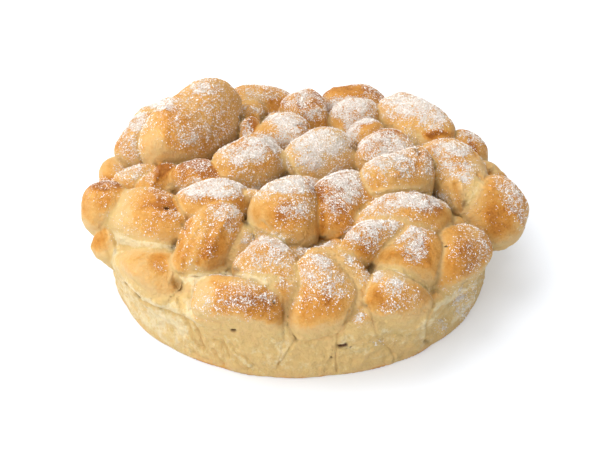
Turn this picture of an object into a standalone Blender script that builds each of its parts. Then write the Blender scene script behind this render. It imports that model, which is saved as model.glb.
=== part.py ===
"""Pull-apart bread: a round tin loaf of some sixty dough pieces that were piled in the tin,
grew together while proving, and baked as one loaf.

Metres, +Z up. The origin is the middle of the flat underside, and the photographed side
faces -Y. The loaf is one solid: the crumb that filled the tin, with every dough piece
joined to it.
"""

import math

import bmesh
import bpy
import numpy as np

MM = 0.001

# The tin's inside gave the lower wall its shape.
BASE_RADIUS = 119 * MM
WALL_RADIUS = 122 * MM
WALL_HEIGHT = 35 * MM
BOTTOM_EDGE = 3 * MM
CRUMB_RISE = 27 * MM

# Seams where neighbouring pieces met against the tin: azimuth at the floor and at the
# wall's top, in degrees.
WALL_SEAMS = (
    (-158, -163),
    (-134, -128),
    (-114, -119),
    (-98, -93),
    (-80, -78),
    (-60, -67),
    (-47, -50),
    (-24, -18),
    (2, 6),
    (27, 22),
    (51, 57),
    (79, 74),
    (104, 109),
    (131, 126),
    (157, 162),
)
SEAM_DEPTH = 1.8 * MM
SEAM_HALF_WIDTH = 3.0 * MM
PANEL_BULGE = 1.0 * MM
COLUMNS_PER_PANEL = 5

# The form of a dough piece: a rounded block with soft flats, uneven from piece to piece.
ROUNDNESS = 2.3
FLATS = 6
FLAT_CUT = 0.97
FLAT_SHARPNESS = 9
GOLDEN_TURN = math.pi * (3 - math.sqrt(5))
PATCH_AREA = 76 * MM * MM
FEWEST_PATCHES = 42
# Share of the mesh kept once the slivers along the joins have been folded away.
KEPT_SHARE = 0.78

# Each dough piece, as laid in the tin: azimuth of its middle, its reach from the loaf's
# axis, its height above the floor, then its length, width and thickness, the heading of
# its length, and how far its crown leans outwards. Degrees and millimetres.
FRONT_PIECES = {
    "left_knob": (-175, 126, 53, 36, 35, 34, 19, 69),
    "left_spur": (-166, 124, 39, 25, 23, 23, 32, 55),
    "left_wedge": (-163, 100, 55, 72, 41, 36, -36, 29),
    "left_cheek": (-145, 113, 39, 61, 32, 37, -49, 65),
    "front_left_roll": (-132, 84, 58, 57, 37, 37, 48, 40),
    "front_left_chip": (-125, 111, 39, 22, 18, 21, 87, 50),
    "front_left_bun": (-109, 113, 45, 62, 33, 44, -19, 56),
    "front_shoulder": (-101, 93, 54, 51, 38, 38, -53, 33),
    "front_tail": (-95, 101, 44, 36, 20, 23, 76, 45),
    "front_egg": (-82, 106, 49, 61, 41, 37, 77, 44),
    "front_crescent": (-75, 100, 54, 58, 36, 30, -49, 39),
    "front_chip": (-72, 121, 36, 26, 21, 26, 93, 66),
    "front_right_block": (-61, 117, 44, 51, 28, 40, -6, 56),
    "front_right_egg": (-47, 99, 56, 50, 45, 36, 87, 27),
    "front_right_finger": (-56, 82, 64, 66, 26, 34, 42, 18),
    "right_cheek": (-33, 117, 48, 56, 43, 34, 80, 50),
    "right_egg": (-6, 124, 51, 49, 41, 45, -21, 78),
}
TOP_PIECES = {
    "right_bolster": (-36, 81, 66, 66, 38, 34, 14, 6),
    "left_tent": (180, 90, 60, 37, 25, 30, 54, 26),
    "left_crumple": (174, 107, 57, 34, 30, 28, 0, 24),
    "left_ridge": (-176, 64, 69, 40, 25, 28, -24, 4),
    "left_pillow": (-150, 65, 65, 57, 38, 38, -9, 7),
    "left_chip": (-179, 86, 60, 24, 16, 22, 67, -6),
    "middle_left": (172, 33, 73, 53, 40, 42, 46, -2),
    "middle_front": (-100, 49, 70, 52, 43, 43, 78, 25),
    "middle_tongue": (-128, 44, 76, 18, 10, 11, -7, 0),
    "middle_chip": (-91, 77, 54, 30, 21, 22, -3, 20),
    "middle_right": (-53, 43, 67, 58, 44, 38, 64, 21),
    "right_loaf": (-9, 63, 73, 63, 36, 39, 41, 0),
    "right_back_bun": (22, 58, 72, 45, 37, 34, 61, 8),
    "middle_back": (53, 23, 72, 52, 39, 36, 30, 11),
    "back_slice": (48, 66, 69, 31, 26, 25, 53, 11),
    "back_left_bun": (103, 52, 67, 39, 39, 34, -17, -8),
    "back_left_chip": (120, 68, 68, 26, 15, 25, 106, 6),
    "back_left_pebble": (113, 95, 62, 30, 24, 29, -9, 0),
    "right_saddle": (9, 99, 63, 52, 34, 39, -48, 32),
    "right_tail": (-2, 107, 59, 37, 27, 35, -75, 20),
    "right_back_roll": (43, 107, 65, 73, 40, 34, -60, -2),
    "right_back_egg": (26, 123, 53, 39, 29, 35, -54, 50),
    "right_back_chip": (16, 133, 49, 24, 17, 17, -59, 25),
    "right_back_pebble": (16, 132, 51, 17, 14, 16, 1, 19),
    "great_piece": (144, 94, 69, 82, 46, 54, 59, 3),
    "great_piece_crown": (132, 92, 75, 50, 36, 50, 60, 10),
    "left_back_bun": (148, 121, 60, 59, 36, 36, 63, 28),
    "left_back_ball": (138, 128, 60, 48, 36, 32, 57, 21),
    "left_back_chip": (162, 129, 45, 36, 26, 26, 68, 53),
    "back_bun": (105, 115, 54, 54, 40, 42, 13, 15),
    "back_ball": (88, 92, 61, 43, 31, 44, 115, 12),
    "back_loaf": (72, 120, 54, 49, 40, 40, -3, 21),
    "back_pillow": (65, 94, 61, 40, 33, 34, 32, -15),
}
# These lie lower, in the gaps between the others.
GAP_PIECES = {
    "gap_great_piece": (138, 54, 54, 46, 31, 31, 40, 1),
    "gap_left_ridge": (167, 75, 53, 42, 26, 28, -4, 7),
    "gap_back_left": (100, 79, 55, 38, 29, 28, 11, 0),
    "gap_back_slice": (69, 62, 54, 40, 27, 31, 92, 3),
    "gap_right_back_roll": (36, 79, 56, 46, 30, 32, -25, 5),
    "gap_right_back_bun": (21, 84, 54, 30, 24, 28, 60, 5),
    "gap_middle": (-52, 16, 60, 52, 29, 32, -6, 2),
    "gap_right_loaf": (-19, 80, 55, 48, 28, 32, -15, 10),
    "gap_right_egg": (-21, 105, 44, 36, 26, 28, -70, 29),
    "gap_front_left_roll": (-123, 73, 53, 30, 24, 34, 47, 20),
    "gap_front_left_bun": (-119, 101, 36, 42, 26, 27, -45, 33),
    "gap_left_wedge": (-153, 107, 40, 48, 25, 33, -47, 30),
    "gap_front_finger": (-75, 74, 55, 26, 22, 26, 0, 10),
    "gap_left_cheek": (-130, 107, 35, 26, 25, 25, -45, 50),
    "gap_right_cheek": (-50, 119, 33, 22, 24, 25, 61, 58),
    "gap_front_egg": (-94, 106, 37, 26, 24, 23, 89, 50),
}
# The photographed side hides these. They close the ring at the back, low on the wall.
BACK_PIECES = {
    "low_back_left": (128, 116, 38, 52, 40, 40, 38, 55),
    "low_back_mid_left": (108, 118, 36, 50, 42, 40, 18, 60),
    "low_back_middle": (88, 119, 36, 54, 40, 40, -2, 60),
    "low_back_mid_right": (68, 118, 36, 50, 42, 40, -22, 60),
    "low_back_right": (48, 117, 38, 54, 40, 40, -42, 55),
    "low_right_back": (28, 116, 36, 50, 40, 40, -62, 60),
    "low_right": (6, 114, 34, 50, 40, 40, -82, 60),
    "low_left_back": (150, 116, 34, 50, 40, 40, 60, 60),
    "low_left": (172, 112, 32, 48, 40, 40, 82, 60),
}

CRUST_COLOUR = (0.72, 0.45, 0.17, 1.0)
CRUST_ROUGHNESS = 0.62


def clear_scene():
    for obj in list(bpy.data.objects):
        bpy.data.objects.remove(obj)


def add_object(name, bm, collection):
    """A mesh object made from bm, linked into a collection."""
    bmesh.ops.recalc_face_normals(bm, faces=bm.faces)
    mesh = bpy.data.meshes.new(name)
    bm.to_mesh(mesh)
    bm.free()
    obj = bpy.data.objects.new(name, mesh)
    collection.objects.link(obj)
    return obj


def ball_directions(count):
    """Unit directions spread evenly over a ball, along a spiral of golden turns."""
    steps = np.arange(count) + 0.5
    rise = 1 - 2 * steps / count
    ring = np.sqrt(1 - rise**2)
    around = GOLDEN_TURN * steps
    return np.stack([ring * np.cos(around), ring * np.sin(around), rise], axis=1)


def patches_of(half_sizes):
    """How many mesh points a piece gets: one to each patch of its crust."""
    power = 1.6
    one, two, three = half_sizes**power
    mean = ((one * two + one * three + two * three) / 3) ** (1 / power)
    return max(FEWEST_PATCHES, round(4 * math.pi * mean / PATCH_AREA))


def flat_directions(index):
    """Unit directions of one piece's soft flats, tipped a little further for each piece."""
    tip = 0.9 * index
    spread = ball_directions(FLATS)
    turn = np.array(
        [
            [math.cos(tip), 0, math.sin(tip)],
            [0, 1, 0],
            [-math.sin(tip), 0, math.cos(tip)],
        ]
    )
    return spread @ turn.T


def crust_measure(points, index):
    """How far out points lie, in units of the piece's half sizes: the crust is at 1."""
    blunt = (np.abs(points) ** ROUNDNESS).sum(axis=1) ** (1 / ROUNDNESS)
    facing = np.clip(points @ flat_directions(index).T, 0, None) * FLAT_CUT
    total = blunt**FLAT_SHARPNESS + (facing**FLAT_SHARPNESS).sum(axis=1)
    return total ** (1 / FLAT_SHARPNESS)


def piece_axes(azimuth, heading, lean):
    """Length, width and crown directions: laid flat on its heading, then leant outwards."""
    hinge = np.array([-math.sin(azimuth), math.cos(azimuth), 0.0])

    def leant(direction):
        along = hinge * (hinge @ direction) * (1 - math.cos(lean))
        turned = np.cross(hinge, direction) * math.sin(lean)
        return direction * math.cos(lean) + turned + along

    length = leant(np.array([math.cos(heading), math.sin(heading), 0.0]))
    crown = leant(np.array([0.0, 0.0, 1.0]))
    return np.stack([length, np.cross(crown, length), crown])


def dough_piece(name, index, numbers, collection):
    azimuth, reach, height, length, width, thickness, heading, lean = numbers
    azimuth = math.radians(azimuth)
    middle = np.array([reach * math.cos(azimuth), reach * math.sin(azimuth), height]) * MM
    half_sizes = np.array([length, width, thickness]) * MM / 2
    axes = piece_axes(azimuth, math.radians(heading), math.radians(lean))
    ball = ball_directions(patches_of(half_sizes))
    shape = ball / crust_measure(ball, index)[:, None]
    placed = middle + (shape * half_sizes) @ axes
    bm = bmesh.new()
    for direction in ball:
        bm.verts.new(direction)
    bmesh.ops.convex_hull(bm, input=bm.verts)
    for vert, place in zip(bm.verts, placed):
        vert.co = place
    return add_object(name, bm, collection)


def seam_columns():
    """Azimuths of the wall's mesh columns at the floor and at the top, each with how far
    it lies across its panel: 0 or 1 is a seam."""
    columns = []
    count = len(WALL_SEAMS)
    shoulder = SEAM_HALF_WIDTH / WALL_RADIUS
    for number, (low, high) in enumerate(WALL_SEAMS):
        next_low, next_high = WALL_SEAMS[(number + 1) % count]
        if number == count - 1:
            next_low, next_high = next_low + 360, next_high + 360
        low, high, next_low, next_high = map(math.radians, (low, high, next_low, next_high))
        edge = shoulder / (next_low - low)
        inner = np.linspace(edge, 1 - edge, COLUMNS_PER_PANEL)
        for across in [0.0, *inner]:
            at_floor = low + across * (next_low - low)
            at_top = high + across * (next_high - high)
            columns.append((at_floor, at_top, across))
    return columns


def wall_profile():
    """Radius and height of the loaf's turned rings, from the floor up over the crumb."""
    rings = [(BASE_RADIUS - BOTTOM_EDGE, 0.0)]
    rings.append((BASE_RADIUS - 0.3 * BOTTOM_EDGE, 0.3 * BOTTOM_EDGE))
    rings.append((BASE_RADIUS, BOTTOM_EDGE))
    for share in (0.35, 0.7, 1.0):
        radius = BASE_RADIUS + share * (WALL_RADIUS - BASE_RADIUS)
        rings.append((radius, BOTTOM_EDGE + share * (WALL_HEIGHT - BOTTOM_EDGE)))
    for angle in np.radians((25, 50, 72)):
        radius = WALL_RADIUS * math.cos(angle)
        rings.append((radius, WALL_HEIGHT + CRUMB_RISE * math.sin(angle)))
    return rings


def crumb_body(collection):
    """What filled the tin: a low drum with a domed top, its wall in panels with seams."""
    bm = bmesh.new()
    columns = seam_columns()
    rings = []
    for radius, height in wall_profile():
        lift = min(height / WALL_HEIGHT, 1.0)
        ring = []
        for at_floor, at_top, across in columns:
            azimuth = at_floor + lift * (at_top - at_floor)
            pull = SEAM_DEPTH if across == 0.0 else 0.0
            swell = PANEL_BULGE * math.sin(math.pi * across)
            out = radius + (swell - pull) * radius / WALL_RADIUS
            place = (out * math.cos(azimuth), out * math.sin(azimuth), height)
            ring.append(bm.verts.new(place))
        rings.append(ring)
    for lower, upper in zip(rings, rings[1:]):
        for number in range(len(columns)):
            after = (number + 1) % len(columns)
            bm.faces.new((lower[number], lower[after], upper[after], upper[number]))
    bm.faces.new(reversed(rings[0]))
    bm.faces.new(rings[-1])
    return add_object("loaf", bm, collection)


def bake_modifiers(body):
    graph = bpy.context.evaluated_depsgraph_get()
    mesh = bpy.data.meshes.new_from_object(body.evaluated_get(graph))
    body.modifiers.clear()
    body.data = mesh


def join_pieces(body, pieces):
    """Joins every object of the collection to the body, and removes them."""
    union = body.modifiers.new("grown_together", "BOOLEAN")
    union.operation = "UNION"
    union.operand_type = "COLLECTION"
    union.collection = pieces
    union.solver = "EXACT"
    bake_modifiers(body)
    for obj in list(pieces.objects):
        bpy.data.objects.remove(obj)
    bpy.data.collections.remove(pieces)


def shells_of(bm):
    """The mesh's separate shells, each as a list of faces."""
    left = set(bm.faces)
    shells = []
    while left:
        shell = [left.pop()]
        for face in shell:
            for edge in face.edges:
                for near in edge.link_faces:
                    if near in left:
                        left.remove(near)
                        shell.append(near)
        shells.append(shell)
    return shells


def fill_hollows(body):
    """Keeps the outer crust alone: hollows that joining sealed are filled."""
    bm = bmesh.new()
    bm.from_mesh(body.data)
    shells = sorted(shells_of(bm), key=len)
    spare = [face for shell in shells[:-1] for face in shell]
    bmesh.ops.delete(bm, geom=spare, context="FACES")
    bm.to_mesh(body.data)
    bm.free()


def fold_slivers(body):
    """Folds away the thinnest faces above the wall, nearly all of them along the joins."""
    above = body.vertex_groups.new(name="above_the_wall")
    high = [vert.index for vert in body.data.vertices if vert.co.z > WALL_HEIGHT]
    above.add(high, 1.0, "REPLACE")
    folding = body.modifiers.new("folded", "DECIMATE")
    folding.ratio = KEPT_SHARE
    folding.vertex_group = above.name
    bake_modifiers(body)
    body.vertex_groups.clear()


def crust_material():
    material = bpy.data.materials.new("baked_crust")
    material.use_nodes = True
    shader = material.node_tree.nodes["Principled BSDF"]
    shader.inputs["Base Color"].default_value = CRUST_COLOUR
    shader.inputs["Roughness"].default_value = CRUST_ROUGHNESS
    shader.inputs["Metallic"].default_value = 0.0
    return material


def main():
    clear_scene()
    scene_collection = bpy.context.scene.collection
    pieces = bpy.data.collections.new("dough_pieces")
    scene_collection.children.link(pieces)
    body = crumb_body(scene_collection)
    table = {**FRONT_PIECES, **TOP_PIECES, **GAP_PIECES, **BACK_PIECES}
    for index, (name, numbers) in enumerate(table.items()):
        dough_piece(name, index, numbers, pieces)
    join_pieces(body, pieces)
    fill_hollows(body)
    fold_slivers(body)
    body.data.materials.clear()
    body.data.materials.append(crust_material())
    body.data.shade_smooth()
    body.data.set_sharp_from_angle(angle=math.radians(50))


main()
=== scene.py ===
import math

import bmesh
import bpy
import numpy as np
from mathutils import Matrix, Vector, noise


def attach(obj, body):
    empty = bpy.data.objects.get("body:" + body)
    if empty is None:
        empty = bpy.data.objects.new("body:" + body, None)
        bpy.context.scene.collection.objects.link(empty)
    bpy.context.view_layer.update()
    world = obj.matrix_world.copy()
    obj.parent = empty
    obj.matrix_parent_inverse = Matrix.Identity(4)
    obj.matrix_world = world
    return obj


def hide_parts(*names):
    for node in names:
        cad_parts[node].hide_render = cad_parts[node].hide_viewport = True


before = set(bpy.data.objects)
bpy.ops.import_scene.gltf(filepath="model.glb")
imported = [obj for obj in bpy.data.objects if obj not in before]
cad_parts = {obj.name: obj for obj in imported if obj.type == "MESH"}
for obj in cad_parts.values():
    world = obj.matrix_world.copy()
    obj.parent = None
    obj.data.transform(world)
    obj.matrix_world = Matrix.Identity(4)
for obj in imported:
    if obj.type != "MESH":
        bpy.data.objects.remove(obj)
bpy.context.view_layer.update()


# The camera. A studio camera on a tripod, a little over a metre from the loaf, looking
# down at about a third of a right angle with a portrait lens, so that the round loaf
# shows both its dusted top and its low wall.

VIEW_HEIGHT = 0.033
VIEW_DISTANCE = 1.2
VIEW_DOWN = math.radians(33)
LENS_MM = 109.2

lens = bpy.data.cameras.new("studio_camera")
lens.lens = LENS_MM
lens.sensor_width = 36.0
lens.clip_start = 0.05
lens.clip_end = 30.0
camera = bpy.data.objects.new("studio_camera", lens)
bpy.context.scene.collection.objects.link(camera)
aim = Vector((0.0, 0.0, VIEW_HEIGHT))
back = Vector((0.0, -math.cos(VIEW_DOWN), math.sin(VIEW_DOWN)))
camera.location = aim + back * VIEW_DISTANCE
camera.rotation_euler = (-back).to_track_quat("-Z", "Y").to_euler()
bpy.context.scene.camera = camera


# The loaf. Pieces of sweet milk dough were rolled in the hand, piled in a round tin, left
# to prove until they swelled into each other, and baked: they puffed out past the tin's
# edge, browned where they stood proud, and stayed pale where they touched.

MM = 0.001

# Each piece of dough: azimuth, reach from the axis and height of its middle, then length,
# width and thickness, its heading, the lean of its crown, how far it browned and how much
# sugar lies on it. Degrees and millimetres; browning and sugar run from 0 to 1.
PIECES = {
    "left_knob": (-175, 126, 53, 36, 35, 34, 19, 69, 0.78, 0.15),
    "left_spur": (-166, 124, 39, 25, 23, 23, 32, 55, 0.55, 0.00),
    "left_wedge": (-163, 100, 55, 72, 41, 36, -36, 29, 0.95, 0.15),
    "left_cheek": (-145, 113, 39, 61, 32, 37, -49, 65, 0.40, 0.06),
    "front_left_roll": (-132, 84, 58, 57, 37, 37, 48, 40, 0.75, 0.45),
    "front_left_chip": (-125, 111, 39, 22, 18, 21, 87, 50, 0.50, 0.10),
    "front_left_bun": (-109, 113, 45, 62, 33, 44, -19, 56, 0.80, 0.50),
    "front_shoulder": (-101, 93, 54, 51, 38, 38, -53, 33, 0.70, 0.65),
    "front_tail": (-95, 101, 44, 36, 20, 23, 76, 45, 0.30, 0.10),
    "front_egg": (-81.2, 106, 49, 61, 46, 37, 83, 44, 0.62, 0.60),
    "front_crescent": (-75, 100, 54, 58, 36, 30, -49, 39, 0.70, 0.50),
    "front_chip": (-72, 121, 36, 26, 21, 26, 93, 66, 0.50, 0.25),
    "front_right_block": (-61, 117, 44, 51, 28, 40, -6, 56, 0.85, 0.45),
    "front_right_egg": (-47, 99, 56, 50, 45, 36, 87, 27, 0.65, 0.75),
    "front_right_finger": (-56, 82, 64, 66, 26, 34, 42, 18, 0.80, 0.85),
    "right_cheek": (-33, 117, 48, 56, 43, 34, 80, 50, 0.80, 0.40),
    "right_egg": (-6, 124, 51, 49, 41, 45, -21, 78, 0.75, 0.15),
    "right_bolster": (-36, 81, 66, 66, 38, 34, 14, 6, 0.65, 0.85),
    "left_tent": (180, 90, 60, 37, 25, 30, 54, 26, 0.95, 0.35),
    "left_crumple": (174, 107, 57, 34, 30, 28, 0, 24, 0.50, 0.50),
    "left_ridge": (-176, 64, 69, 40, 25, 28, -24, 4, 0.90, 0.25),
    "left_pillow": (-150, 65, 65, 57, 38, 38, -9, 7, 0.70, 0.90),
    "left_chip": (-179, 86, 60, 24, 16, 22, 67, -6, 0.20, 0.10),
    "middle_left": (172, 33, 73, 53, 40, 42, 46, -2, 0.60, 0.85),
    "middle_front": (-100, 49, 70, 52, 43, 43, 78, 25, 0.90, 0.75),
    "middle_tongue": (-128, 44, 76, 18, 10, 11, -7, 0, 0.30, 0.10),
    "middle_chip": (-91, 77, 54, 30, 21, 22, -3, 20, 0.40, 0.60),
    "middle_right": (-53, 43, 67, 58, 44, 38, 64, 21, 0.85, 0.80),
    "right_loaf": (-9, 63, 73, 63, 36, 39, 41, 0, 0.80, 0.55),
    "right_back_bun": (22, 58, 72, 45, 37, 34, 61, 8, 0.85, 0.70),
    "middle_back": (53, 23, 72, 52, 39, 36, 30, 11, 0.60, 1.00),
    "back_slice": (48, 66, 69, 31, 26, 25, 53, 11, 0.70, 0.70),
    "back_left_bun": (103, 52, 67, 39, 39, 34, -17, -8, 0.60, 0.75),
    "back_left_chip": (120, 68, 68, 26, 15, 25, 106, 6, 0.80, 0.50),
    "back_left_pebble": (113, 95, 62, 30, 24, 29, -9, 0, 0.60, 0.40),
    "right_saddle": (9, 99, 63, 52, 34, 39, -48, 32, 1.00, 0.65),
    "right_tail": (-2, 107, 59, 37, 27, 35, -75, 20, 1.00, 0.30),
    "right_back_roll": (43, 107, 65, 73, 40, 34, -60, -2, 0.60, 0.80),
    "right_back_egg": (26, 123, 53, 39, 29, 35, -54, 50, 0.80, 0.50),
    "right_back_chip": (16, 133, 49, 24, 17, 17, -59, 25, 0.60, 0.30),
    "right_back_pebble": (16, 132, 51, 17, 14, 16, 1, 19, 0.60, 0.30),
    "great_piece": (144, 94, 69, 82, 46, 54, 59, 3, 0.48, 0.50),
    "great_piece_crown": (132, 92, 75, 50, 36, 50, 60, 10, 0.48, 0.55),
    "left_back_bun": (148, 121, 60, 59, 36, 36, 63, 28, 0.60, 0.40),
    "left_back_ball": (138, 128, 60, 48, 36, 32, 57, 21, 0.60, 0.40),
    "left_back_chip": (162, 129, 45, 36, 26, 26, 68, 53, 0.50, 0.50),
    "back_bun": (105, 115, 54, 54, 40, 42, 13, 15, 0.60, 0.50),
    "back_ball": (88, 92, 61, 43, 31, 44, 115, 12, 0.78, 0.50),
    "back_loaf": (72, 120, 54, 49, 40, 40, -3, 21, 0.80, 0.30),
    "back_pillow": (65, 94, 61, 40, 33, 34, 32, -15, 0.70, 0.85),
    "gap_great_piece": (138, 54, 54, 46, 31, 31, 40, 1, 0.30, 0.40),
    "gap_left_ridge": (167, 75, 53, 42, 26, 28, -4, 7, 0.30, 0.40),
    "gap_back_left": (100, 79, 55, 38, 29, 28, 11, 0, 0.30, 0.40),
    "gap_back_slice": (69, 62, 54, 40, 27, 31, 92, 3, 0.30, 0.40),
    "gap_right_back_roll": (36, 79, 56, 46, 30, 32, -25, 5, 0.30, 0.40),
    "gap_right_back_bun": (21, 84, 54, 30, 24, 28, 60, 5, 0.30, 0.40),
    "gap_middle": (-52, 16, 60, 52, 29, 32, -6, 2, 0.30, 0.40),
    "gap_right_loaf": (-19, 80, 55, 48, 28, 32, -15, 10, 0.30, 0.30),
    "gap_right_egg": (-21, 105, 44, 36, 26, 28, -70, 29, 0.30, 0.10),
    "gap_front_left_roll": (-123, 73, 53, 30, 24, 34, 47, 20, 0.20, 0.15),
    "gap_front_left_bun": (-119, 101, 36, 42, 26, 27, -45, 33, 0.20, 0.10),
    "gap_left_wedge": (-153, 107, 40, 48, 25, 33, -47, 30, 0.15, 0.05),
    "gap_front_finger": (-75, 74, 55, 26, 22, 26, 0, 10, 0.30, 0.30),
    "gap_left_cheek": (-130, 107, 35, 26, 25, 25, -45, 50, 0.20, 0.05),
    "gap_right_cheek": (-50, 119, 33, 22, 24, 25, 61, 58, 0.30, 0.10),
    "gap_front_egg": (-94, 106, 37, 26, 24, 23, 89, 50, 0.20, 0.10),
    "low_back_left": (128, 116, 38, 52, 40, 40, 38, 55, 0.60, 0.15),
    "low_back_mid_left": (108, 118, 36, 50, 42, 40, 18, 60, 0.70, 0.15),
    "low_back_middle": (88, 119, 36, 54, 40, 40, -2, 60, 0.60, 0.15),
    "low_back_mid_right": (68, 118, 36, 50, 42, 40, -22, 60, 0.70, 0.15),
    "low_back_right": (48, 117, 38, 54, 40, 40, -42, 55, 0.60, 0.15),
    "low_right_back": (28, 116, 36, 50, 40, 40, -62, 60, 0.70, 0.15),
    "low_right": (6, 114, 34, 50, 40, 40, -82, 60, 0.50, 0.10),
    "low_left_back": (150, 116, 34, 50, 40, 40, 60, 60, 0.60, 0.15),
    "low_left": (172, 112, 32, 48, 40, 40, 82, 60, 0.50, 0.10),
}
# Pieces that flowed into one lump, with no crease left between them.
LUMPS = (
    ("great_piece", "great_piece_crown"),
    ("right_saddle", "right_tail"),
)
LUMP_FILLET = 9.0
PRESSED_FILLET = 8.0
# How widely a piece melts into the loaf below it, where no crease parts the two.
FLOWING = {
    "front_left_bun": 16.0,
    "front_left_chip": 12.0,
    "front_tail": 6.0,
    "front_egg": 6.0,
    "front_chip": 22.0,
    "front_right_block": 24.0,
    "right_cheek": 14.0,
    "left_cheek": 18.0,
    "left_wedge": 6.0,
    "left_spur": 18.0,
    "left_knob": 6.0,
    "gap_front_egg": 12.0,
    "gap_right_cheek": 20.0,
    "gap_left_cheek": 16.0,
    "gap_left_wedge": 12.0,
    "gap_front_left_bun": 12.0,
    "low_left": 10.0,
    "low_right": 10.0,
    "low_right_back": 8.0,
    "low_back_right": 8.0,
    "low_back_left": 8.0,
}
# Pieces that the tin's wall pressed flat below its rim.
PRESSED = {
    "front_left_bun",
    "front_left_chip",
    "front_tail",
    "front_egg",
    "front_chip",
    "front_right_block",
    "right_cheek",
    "left_cheek",
    "gap_front_egg",
    "gap_right_cheek",
    "gap_left_cheek",
    "gap_left_wedge",
    "gap_front_left_bun",
}
# Webs of stretched skin that still bridge two pieces, and how wide they are.
WEBS = (
    ("middle_left", "middle_back", 7.0),
    ("middle_front", "front_shoulder", 8.0),
    ("middle_front", "gap_front_left_roll", 8.0),
    ("left_wedge", "gap_left_wedge", 6.0),
    ("left_knob", "left_wedge", 5.0),
    ("right_loaf", "right_saddle", 3.0),
    ("right_loaf", "gap_right_loaf", 7.0),
    ("right_back_roll", "right_saddle", 5.0),
    ("left_wedge", "left_cheek", 4.0),
    ("front_shoulder", "gap_front_left_roll", 6.0),
    ("front_left_roll", "front_left_chip", 5.0),
    ("back_left_bun", "middle_back", 4.0),
    ("front_right_block", "front_right_egg", 10.0),
    ("front_right_block", "right_cheek", 8.0),
    ("front_chip", "front_right_block", 6.0),
    ("right_saddle", "right_egg", 5.0),
)
NAMES = list(PIECES)
PARTNER = {NAMES.index(second): NAMES.index(first) for first, second in LUMPS}
BROWNED = np.array([row[8] for row in PIECES.values()])
SUGARED = np.array([row[9] for row in PIECES.values()])

# The tin's print: radius at the floor and at the wall's top, the wall's height, the round
# of its bottom edge, and how far the crumb between the pieces rises above the wall.
BASE_RADIUS = 119.0
WALL_RADIUS = 122.0
WALL_HEIGHT = 35.0
BOTTOM_EDGE = 3.0
CRUMB_RISE = 27.0
CRUMB_SIDES = 180
# Heights between which the dough stood free of the tin's rim and swelled out over it, and
# how far past the rim a pressed piece could swell.
RIM_START = 24.0
RIM_END = 54.0
OVERHANG = 15.0
# Where neighbouring pieces met against the tin: azimuth at the floor and at the wall's top.
WALL_SEAMS = (
    (-158, -163), (-134, -128), (-114, -119), (-98, -93), (-80, -78),
    (-60, -67), (-47, -50), (-24, -18), (2, 6), (27, 22),
    (51, 57), (79, 74), (104, 109), (131, 126), (157, 162),
)
SEAM_DEPTH = 1.5
SEAM_WIDTH = 1.6
PANEL_BULGE = 1.0

# How blunt a piece is, where 2 is a plain egg, and the soft flats where it pressed on others:
# how many, how far out they lie, and how crisp their edges are.
ROUNDNESS = 2.3
FLATS = 6
FLAT_CUT = 0.97
FLAT_SHARPNESS = 9
GOLDEN_TURN = math.pi * (3 - math.sqrt(5))
FLAT_TIP = 0.9

# The skin's mesh: its cell, and how often it is drawn onto the loaf's form.
SKIN_CELL = 1.3 * MM
SETTLING_STEPS = 7
FILLET = 0.62
FILLET_CHANGE = 0.3
# No piece is a true egg: the dough's own stretch bends them all by this much.
STRETCH = 1.6


def flat_directions(index):
    """Unit directions of one piece's soft flats, tipped a little further for each piece."""
    steps = np.arange(FLATS) + 0.5
    rise = 1 - 2 * steps / FLATS
    ring = np.sqrt(1 - rise**2)
    around = GOLDEN_TURN * steps
    spread = np.stack([ring * np.cos(around), ring * np.sin(around), rise], axis=1)
    tip = FLAT_TIP * index
    turn = np.array(
        [
            [math.cos(tip), 0, math.sin(tip)],
            [0, 1, 0],
            [-math.sin(tip), 0, math.cos(tip)],
        ]
    )
    return spread @ turn.T


def crust_measure(points, index):
    """How far out points lie, in units of the piece's half sizes: the crust is at 1."""
    blunt = (np.abs(points) ** ROUNDNESS).sum(axis=1) ** (1 / ROUNDNESS)
    facing = np.clip(points @ flat_directions(index).T, 0, None) * FLAT_CUT
    total = blunt**FLAT_SHARPNESS + (facing**FLAT_SHARPNESS).sum(axis=1)
    return total ** (1 / FLAT_SHARPNESS)


def piece_axes(azimuth, heading, lean):
    """Length, width and crown directions: laid flat on its heading, then leant outwards."""
    hinge = np.array([-math.sin(azimuth), math.cos(azimuth), 0.0])

    def leant(direction):
        along = hinge * (hinge @ direction) * (1 - math.cos(lean))
        return direction * math.cos(lean) + np.cross(hinge, direction) * math.sin(lean) + along

    length = leant(np.array([math.cos(heading), math.sin(heading), 0.0]))
    crown = leant(np.array([0.0, 0.0, 1.0]))
    return np.stack([length, np.cross(crown, length), crown])


def laid_piece(row):
    """Middle, half sizes and axes of a piece, in millimetres."""
    azimuth = math.radians(row[0])
    middle = np.array([row[1] * math.cos(azimuth), row[1] * math.sin(azimuth), row[2]])
    half_sizes = np.array(row[3:6]) / 2
    return middle, half_sizes, piece_axes(azimuth, math.radians(row[6]), math.radians(row[7]))


LAID = [laid_piece(row) for row in PIECES.values()]


def smooth_step(low, high, values):
    share = np.clip((values - low) / (high - low), 0, 1)
    return share * share * (3 - 2 * share)


def seam_offset(points):
    """How far the wall stands proud of the plain tin round: seams sink, panels swell."""
    azimuth = np.degrees(np.arctan2(points[:, 1], points[:, 0]))
    lift = np.clip(points[:, 2] / WALL_HEIGHT, 0, 1.2)
    nearest = np.full(len(points), 1e9)
    for low, high in WALL_SEAMS:
        wander = 1.2 * np.sin(points[:, 2] / 5.0 + low)
        apart = (azimuth - (low + lift * (high - low)) + 180 + wander) % 360 - 180
        nearest = np.minimum(nearest, np.abs(np.radians(apart)) * WALL_RADIUS)
    swell = PANEL_BULGE * (1 - np.exp(-nearest / 9.0))
    behind = smooth_step(-30.0, 0.0, points[:, 1])
    return swell - behind * SEAM_DEPTH * np.exp(-((nearest / SEAM_WIDTH) ** 2)), nearest


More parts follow.
